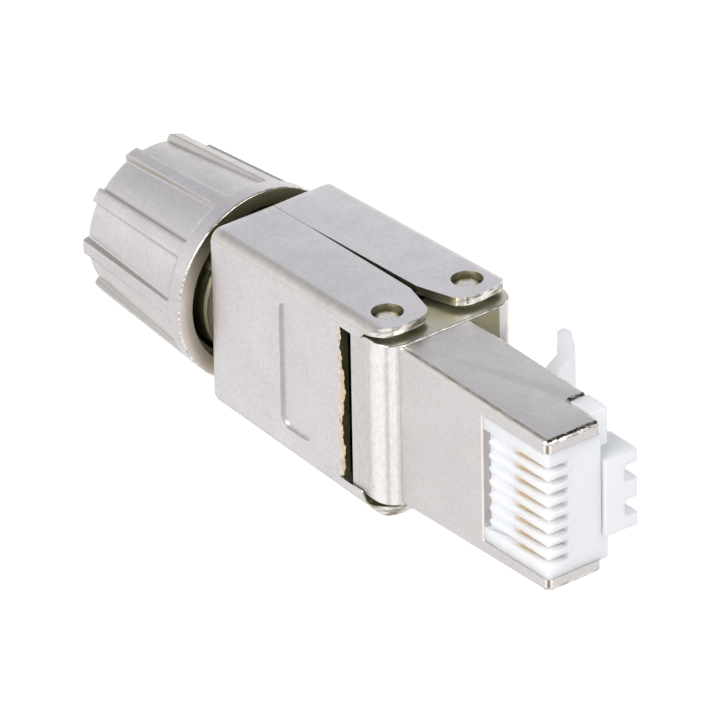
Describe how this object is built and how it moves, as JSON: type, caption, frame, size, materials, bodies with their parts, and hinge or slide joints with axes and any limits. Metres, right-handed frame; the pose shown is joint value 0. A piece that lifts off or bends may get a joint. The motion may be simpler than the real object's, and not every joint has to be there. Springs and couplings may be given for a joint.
{
  "type": "shielded modular plug",
  "caption": "Shielded modular network plug for field wiring: latched cast nose with recessed contacts, two hinged housing halves, and a ribbed clamping nut on a split neck.",
  "frame": {"origin": "centre of the plug's mating face, on the white insert's front face", "axes": "+X out of the nose along the plug's axis, +Y towards the latch side, +Z along the row of contacts"},
  "size_m": [0.0493, 0.0169, 0.0146],
  "materials": {
    "satin_nickel": "satin nickel plate on a zinc casting",
    "bright_nickel": "bright nickel plate",
    "white_plastic": "moulded polycarbonate",
    "gold_plate": "gold-plated bronze",
    "tinned_metal": "tin plate",
    "board": "green glass-fibre laminate",
    "black_plastic": "moulded nylon",
    "black_rubber": "soft seal"
  },
  "bodies": {
    "housing": {"plug_frame": "satin_nickel", "contact_insert": "white_plastic", "contact_1": "gold_plate", "contact_2": "gold_plate", "contact_3": "gold_plate", "contact_4": "gold_plate", "contact_5": "gold_plate", "contact_6": "gold_plate", "contact_7": "gold_plate", "contact_8": "gold_plate", "contact_bar": "tinned_metal", "circuit_board": "board", "idc_block_a": "black_plastic", "idc_block_b": "black_plastic", "idc_terminal_1": "tinned_metal", "idc_terminal_2": "tinned_metal", "idc_terminal_3": "tinned_metal", "idc_terminal_4": "tinned_metal", "idc_terminal_5": "tinned_metal", "idc_terminal_6": "tinned_metal", "idc_terminal_7": "tinned_metal", "idc_terminal_8": "tinned_metal", "wire_guide": "black_plastic", "shield_collar": "tinned_metal", "pin_a": "bright_nickel", "pin_b": "bright_nickel"},
    "latch": {"latch": "white_plastic"},
    "shell_a": {"shell_a": "satin_nickel"},
    "shell_b": {"shell_b": "satin_nickel"},
    "gland": {"gland_ring": "black_plastic", "cable_grommet": "black_rubber"},
    "nut": {"clamp_nut": "satin_nickel"}
  },
  "joints": [
    {"name": "latch_press", "type": "hinge", "parent": "housing", "child": "latch", "pos_m": [-0.0003, 0.00195, -0.0002], "axis": [0, 0, 1], "range_deg": [0, 9], "stiffness_Nm_per_rad": 0.05},
    {"name": "shell_a_hinge", "type": "hinge", "parent": "housing", "child": "shell_a", "pos_m": [-0.01846, -0.00193, 0], "axis": [0, 0, 1], "range_deg": [0, 0.6]},
    {"name": "shell_b_hinge", "type": "hinge", "parent": "housing", "child": "shell_b", "pos_m": [-0.01846, 0.00493, 0], "axis": [0, 0, -1], "range_deg": [0, 0.6]},
    {"name": "gland_slide", "type": "slide", "parent": "housing", "child": "gland", "axis": [1, 0, 0], "range_m": [-0.00376, 0.00084]},
    {"name": "nut_turn", "type": "hinge", "parent": "gland", "child": "nut", "pos_m": [-0.03681, 0.0015, 0], "axis": [1, 0, 0], "range_deg": [-1080, 240]}
  ],
  "couplings": [
    {"joint": "gland_slide", "follows": "nut_turn", "m_per_rad": 0.00019894}
  ]
}
